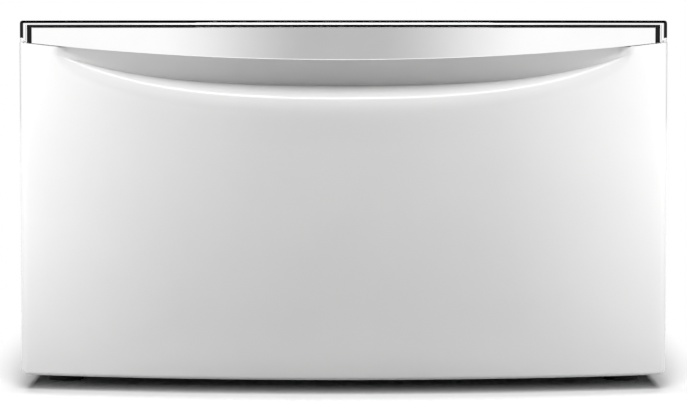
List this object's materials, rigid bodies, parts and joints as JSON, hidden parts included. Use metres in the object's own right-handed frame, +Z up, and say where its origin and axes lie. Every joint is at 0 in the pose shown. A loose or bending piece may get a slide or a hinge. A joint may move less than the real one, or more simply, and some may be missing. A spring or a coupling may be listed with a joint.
{
  "type": "laundry pedestal drawer",
  "caption": "Low enamelled steel pedestal with a full-width bowed storage drawer under a flat deck, chrome pull along its top edge, ball-bearing slides and screw levelling feet.",
  "frame": {"origin": "middle of the footprint, on the floor under the feet", "axes": "+Z up, +X to the right as seen from the front, +Y to the back; the drawer front faces -Y"},
  "size_m": [0.686, 0.705, 0.394],
  "materials": {
    "enamel": "gloss white enamel on steel sheet",
    "zinc": "galvanised steel sheet, satin",
    "steel": "bright zinc-plated steel",
    "chrome": "bright chrome plate",
    "rubber": "black rubber, matt",
    "plastic": "black moulded plastic"
  },
  "bodies": {
    "cabinet": {"side_panel_left": "enamel", "side_panel_right": "enamel", "rear_panel": "enamel", "top_deck": "enamel", "front_top_rail": "enamel", "front_bottom_rail": "enamel", "rear_bottom_rail": "zinc", "corner_bracket_front_left": "zinc", "corner_bracket_rear_left": "zinc", "corner_bracket_front_right": "zinc", "corner_bracket_rear_right": "zinc", "weld_nut_front_left": "steel", "weld_nut_rear_left": "steel", "weld_nut_front_right": "steel", "weld_nut_rear_right": "steel", "slide_bracket_left": "zinc", "slide_bracket_right": "zinc", "slide_outer_left": "steel", "slide_outer_right": "steel", "bumper_left": "rubber", "bumper_right": "rubber", "rear_screw_lower_left": "steel", "rear_screw_upper_left": "steel", "rear_screw_lower_right": "steel", "rear_screw_upper_right": "steel"},
    "drawer": {"drawer_front": "enamel", "drawer_inner_panel": "enamel", "handle_trim": "chrome", "drawer_floor": "zinc", "drawer_wall_left": "zinc", "drawer_wall_right": "zinc", "drawer_back": "zinc", "slide_inner_left": "steel", "slide_inner_right": "steel", "drawer_screw_lower_left": "steel", "drawer_screw_upper_left": "steel", "drawer_screw_lower_right": "steel", "drawer_screw_upper_right": "steel"},
    "divider": {"drawer_divider": "zinc"},
    "slide_mid_left_body": {"slide_mid_left": "steel"},
    "ball_cage_outer_left_body": {"ball_cage_outer_left": "steel"},
    "ball_cage_inner_left_body": {"ball_cage_inner_left": "steel"},
    "slide_mid_right_body": {"slide_mid_right": "steel"},
    "ball_cage_outer_right_body": {"ball_cage_outer_right": "steel"},
    "ball_cage_inner_right_body": {"ball_cage_inner_right": "steel"},
    "release_lever_left_body": {"release_lever_left": "plastic"},
    "release_lever_right_body": {"release_lever_right": "plastic"},
    "foot_pad_front_left_body": {"foot_pad_front_left": "rubber"},
    "foot_stud_front_left_body": {"foot_stud_front_left": "steel"},
    "lock_nut_front_left_body": {"lock_nut_front_left": "steel"},
    "foot_pad_rear_left_body": {"foot_pad_rear_left": "rubber"},
    "foot_stud_rear_left_body": {"foot_stud_rear_left": "steel"},
    "lock_nut_rear_left_body": {"lock_nut_rear_left": "steel"},
    "foot_pad_front_right_body": {"foot_pad_front_right": "rubber"},
    "foot_stud_front_right_body": {"foot_stud_front_right": "steel"},
    "lock_nut_front_right_body": {"lock_nut_front_right": "steel"},
    "foot_pad_rear_right_body": {"foot_pad_rear_right": "rubber"},
    "foot_stud_rear_right_body": {"foot_stud_rear_right": "steel"},
    "lock_nut_rear_right_body": {"lock_nut_rear_right": "steel"}
  },
  "joints": [
    {"name": "drawer_slide", "type": "slide", "parent": "cabinet", "child": "drawer", "axis": [0, -1, 0], "range_m": [0, 0.43]},
    {"name": "divider_lift", "type": "slide", "parent": "drawer", "child": "divider", "axis": [0, 0, 1], "range_m": [0, 0.09]},
    {"name": "slide_mid_left_run", "type": "slide", "parent": "cabinet", "child": "slide_mid_left_body", "axis": [0, -1, 0], "range_m": [0, 0.215]},
    {"name": "ball_cage_outer_left_run", "type": "slide", "parent": "cabinet", "child": "ball_cage_outer_left_body", "axis": [0, -1, 0], "range_m": [0, 0.1075]},
    {"name": "ball_cage_inner_left_run", "type": "slide", "parent": "cabinet", "child": "ball_cage_inner_left_body", "axis": [0, -1, 0], "range_m": [0, 0.3225]},
    {"name": "slide_mid_right_run", "type": "slide", "parent": "cabinet", "child": "slide_mid_right_body", "axis": [0, -1, 0], "range_m": [0, 0.215]},
    {"name": "ball_cage_outer_right_run", "type": "slide", "parent": "cabinet", "child": "ball_cage_outer_right_body", "axis": [0, -1, 0], "range_m": [0, 0.1075]},
    {"name": "ball_cage_inner_right_run", "type": "slide", "parent": "cabinet", "child": "ball_cage_inner_right_body", "axis": [0, -1, 0], "range_m": [0, 0.3225]},
    {"name": "release_lever_left_swing", "type": "hinge", "parent": "drawer", "child": "release_lever_left_body", "pos_m": [-0.3103, -0.035, 0.15], "axis": [-1, 0, 0], "range_deg": [0, 8], "stiffness_Nm_per_rad": 0.0015, "springref_deg": -11.46},
    {"name": "release_lever_right_swing", "type": "hinge", "parent": "drawer", "child": "release_lever_right_body", "pos_m": [0.3103, -0.035, 0.15], "axis": [1, 0, 0], "range_deg": [0, 8], "stiffness_Nm_per_rad": 0.0015, "springref_deg": -11.46},
    {"name": "foot_front_left_level", "type": "slide", "parent": "cabinet", "child": "foot_pad_front_left_body", "axis": [0, 0, -1], "range_m": [0, 0.0127]},
    {"name": "foot_front_left_screw", "type": "hinge", "parent": "foot_pad_front_left_body", "child": "foot_stud_front_left_body", "pos_m": [-0.3058, -0.1868, 0.0108], "axis": [0, 0, 1], "range_deg": [0, 2880]},
    {"name": "lock_nut_front_left_turn", "type": "hinge", "parent": "cabinet", "child": "lock_nut_front_left_body", "pos_m": [-0.3058, -0.1868, 0.01725], "axis": [0, 0, 1], "range_deg": [0, 270]},
    {"name": "foot_rear_left_level", "type": "slide", "parent": "cabinet", "child": "foot_pad_rear_left_body", "axis": [0, 0, -1], "range_m": [0, 0.0127]},
    {"name": "foot_rear_left_screw", "type": "hinge", "parent": "foot_pad_rear_left_body", "child": "foot_stud_rear_left_body", "pos_m": [-0.3058, 0.2561, 0.0108], "axis": [0, 0, 1], "range_deg": [0, 2880]},
    {"name": "lock_nut_rear_left_turn", "type": "hinge", "parent": "cabinet", "child": "lock_nut_rear_left_body", "pos_m": [-0.3058, 0.2561, 0.01725], "axis": [0, 0, 1], "range_deg": [0, 270]},
    {"name": "foot_front_right_level", "type": "slide", "parent": "cabinet", "child": "foot_pad_front_right_body", "axis": [0, 0, -1], "range_m": [0, 0.0127]},
    {"name": "foot_front_right_screw", "type": "hinge", "parent": "foot_pad_front_right_body", "child": "foot_stud_front_right_body", "pos_m": [0.3058, -0.1868, 0.0108], "axis": [0, 0, 1], "range_deg": [0, 2880]},
    {"name": "lock_nut_front_right_turn", "type": "hinge", "parent": "cabinet", "child": "lock_nut_front_right_body", "pos_m": [0.3058, -0.1868, 0.01725], "axis": [0, 0, 1], "range_deg": [0, 270]},
    {"name": "foot_rear_right_level", "type": "slide", "parent": "cabinet", "child": "foot_pad_rear_right_body", "axis": [0, 0, -1], "range_m": [0, 0.0127]},
    {"name": "foot_rear_right_screw", "type": "hinge", "parent": "foot_pad_rear_right_body", "child": "foot_stud_rear_right_body", "pos_m": [0.3058, 0.2561, 0.0108], "axis": [0, 0, 1], "range_deg": [0, 2880]},
    {"name": "lock_nut_rear_right_turn", "type": "hinge", "parent": "cabinet", "child": "lock_nut_rear_right_body", "pos_m": [0.3058, 0.2561, 0.01725], "axis": [0, 0, 1], "range_deg": [0, 270]}
  ],
  "couplings": [
    {"joint": "slide_mid_left_run", "follows": "drawer_slide", "ratio": 0.5},
    {"joint": "ball_cage_outer_left_run", "follows": "drawer_slide", "ratio": 0.25},
    {"joint": "ball_cage_inner_left_run", "follows": "drawer_slide", "ratio": 0.75},
    {"joint": "slide_mid_right_run", "follows": "drawer_slide", "ratio": 0.5},
    {"joint": "ball_cage_outer_right_run", "follows": "drawer_slide", "ratio": 0.25},
    {"joint": "ball_cage_inner_right_run", "follows": "drawer_slide", "ratio": 0.75},
    {"joint": "foot_front_left_screw", "follows": "foot_front_left_level", "rad_per_m": 3957.9},
    {"joint": "foot_rear_left_screw", "follows": "foot_rear_left_level", "rad_per_m": 3957.9},
    {"joint": "foot_front_right_screw", "follows": "foot_front_right_level", "rad_per_m": 3957.9},
    {"joint": "foot_rear_right_screw", "follows": "foot_rear_right_level", "rad_per_m": 3957.9}
  ]
}
